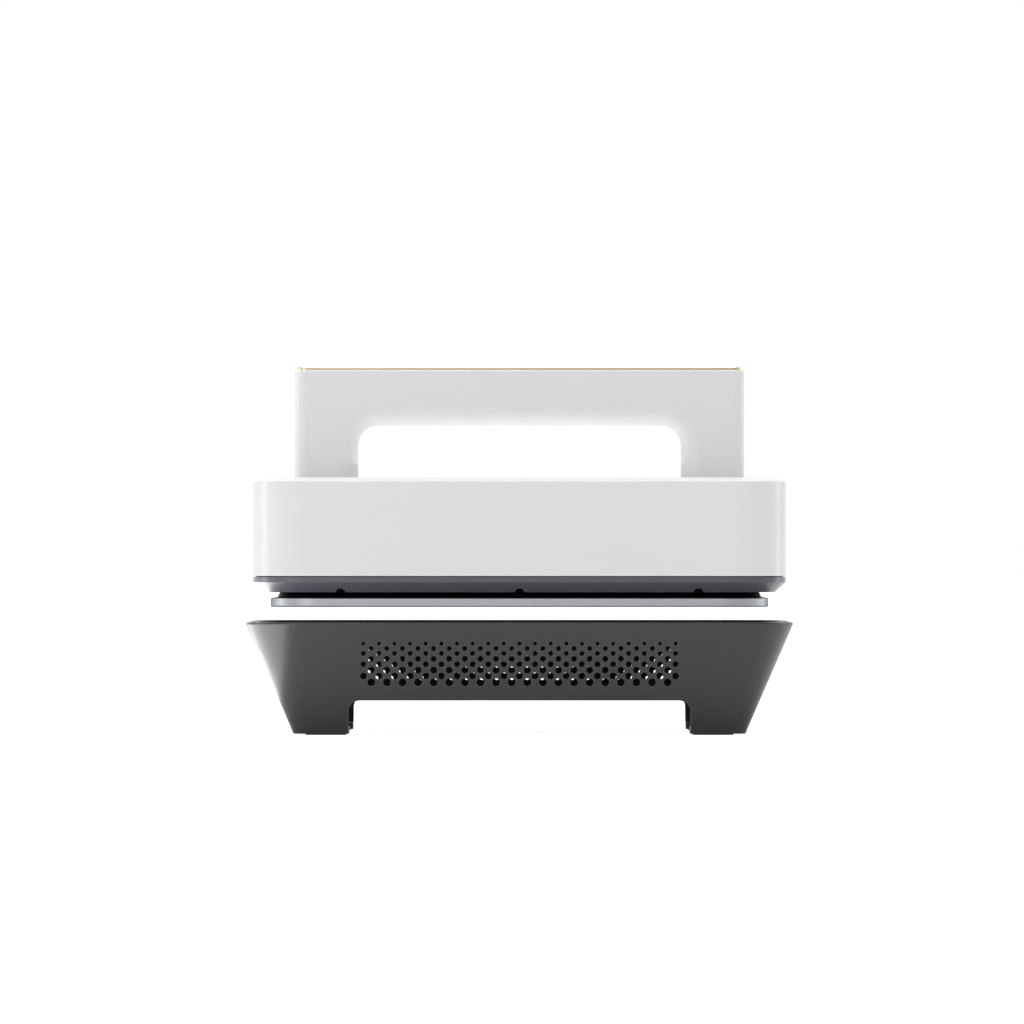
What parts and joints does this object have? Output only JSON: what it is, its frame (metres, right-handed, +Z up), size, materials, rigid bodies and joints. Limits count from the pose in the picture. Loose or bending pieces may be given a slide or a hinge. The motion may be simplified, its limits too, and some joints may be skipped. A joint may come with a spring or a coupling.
{
  "type": "hand-held heat press with rest stand",
  "caption": "Box-shaped hand-held heat press with a bridge handle, a flat heated plate and push buttons, held just above its ventilated rest stand with corner feet.",
  "frame": {"origin": "on the table under the middle of the stand", "axes": "+X along the width, parallel to the handle; +Z up; the front faces -Y"},
  "size_m": [0.335, 0.283, 0.2265],
  "materials": {
    "stand_plastic": "fine moulded texture, satin",
    "foot_rubber": "matte",
    "sheet_steel": "rolled sheet",
    "screw_steel": "zinc plated",
    "screw_black": "black oxide",
    "silicone": "matte silicone",
    "element_sheath": "heat tinted",
    "plate_aluminium": "satin, fine machined edge",
    "contact_brass": "plain",
    "collar_black": "glossy heat-resistant resin",
    "housing_dark": "dark blue-grey metallic, satin",
    "shell_white": "satin white",
    "trim_gold": "brushed, champagne anodised",
    "window_dark": "polished smoked acrylic",
    "button_white": "satin white",
    "board_green": "solder mask",
    "module_black": "moulded",
    "ceramic_white": "steatite",
    "fibre_blanket": "felted ceramic fibre",
    "wire_sleeve": "silicone sleeve"
  },
  "bodies": {
    "stand": {"stand_frame": "stand_plastic", "foot_pads": "foot_rubber", "heat_deflector": "sheet_steel", "deflector_screws": "screw_steel", "rest_bumpers": "silicone"},
    "head": {"heating_element": "element_sheath", "heater_plate": "plate_aluminium", "element_terminals": "contact_brass", "insulating_collar": "collar_black", "lower_housing": "housing_dark", "housing_screws": "screw_black", "body_shell": "shell_white", "handle_shell": "shell_white", "handle_top_plate": "trim_gold", "display_window": "window_dark", "control_board": "board_green", "board_screws": "screw_steel", "display_module": "module_black", "button_switches": "module_black", "plate_standoffs": "ceramic_white", "heat_shield": "sheet_steel", "plate_screws": "screw_steel", "shield_rivets": "screw_steel", "insulation_blanket": "fibre_blanket", "thermostat": "sheet_steel", "thermal_fuse": "contact_brass", "temperature_sensor": "contact_brass", "power_board": "board_green", "power_board_screws": "screw_steel", "power_relay": "module_black", "small_transformer": "sheet_steel", "capacitors": "module_black", "power_inlet": "module_black", "inlet_pins": "contact_brass", "inlet_screws": "screw_steel", "handle_screws": "screw_steel", "heater_leads": "wire_sleeve", "mains_leads": "wire_sleeve", "control_cable": "wire_sleeve"},
    "power_button": {"power_button": "button_white"},
    "mode_button": {"mode_button": "button_white"},
    "minus_button": {"minus_button": "button_white"},
    "plus_button": {"plus_button": "button_white"}
  },
  "joints": [
    {"name": "head_lift", "type": "slide", "parent": "stand", "child": "head", "axis": [0, 0, 1], "range_m": [-0.023, 0.1]},
    {"name": "power_press", "type": "slide", "parent": "head", "child": "power_button", "axis": [0, 0, -1], "range_m": [0, 0.001], "stiffness_N_per_m": 600, "springref_m": -0.0005},
    {"name": "mode_press", "type": "slide", "parent": "head", "child": "mode_button", "axis": [0, 0, -1], "range_m": [0, 0.001], "stiffness_N_per_m": 600, "springref_m": -0.0005},
    {"name": "minus_press", "type": "slide", "parent": "head", "child": "minus_button", "axis": [0, 0, -1], "range_m": [0, 0.001], "stiffness_N_per_m": 600, "springref_m": -0.0005},
    {"name": "plus_press", "type": "slide", "parent": "head", "child": "plus_button", "axis": [0, 0, -1], "range_m": [0, 0.001], "stiffness_N_per_m": 600, "springref_m": -0.0005}
  ]
}
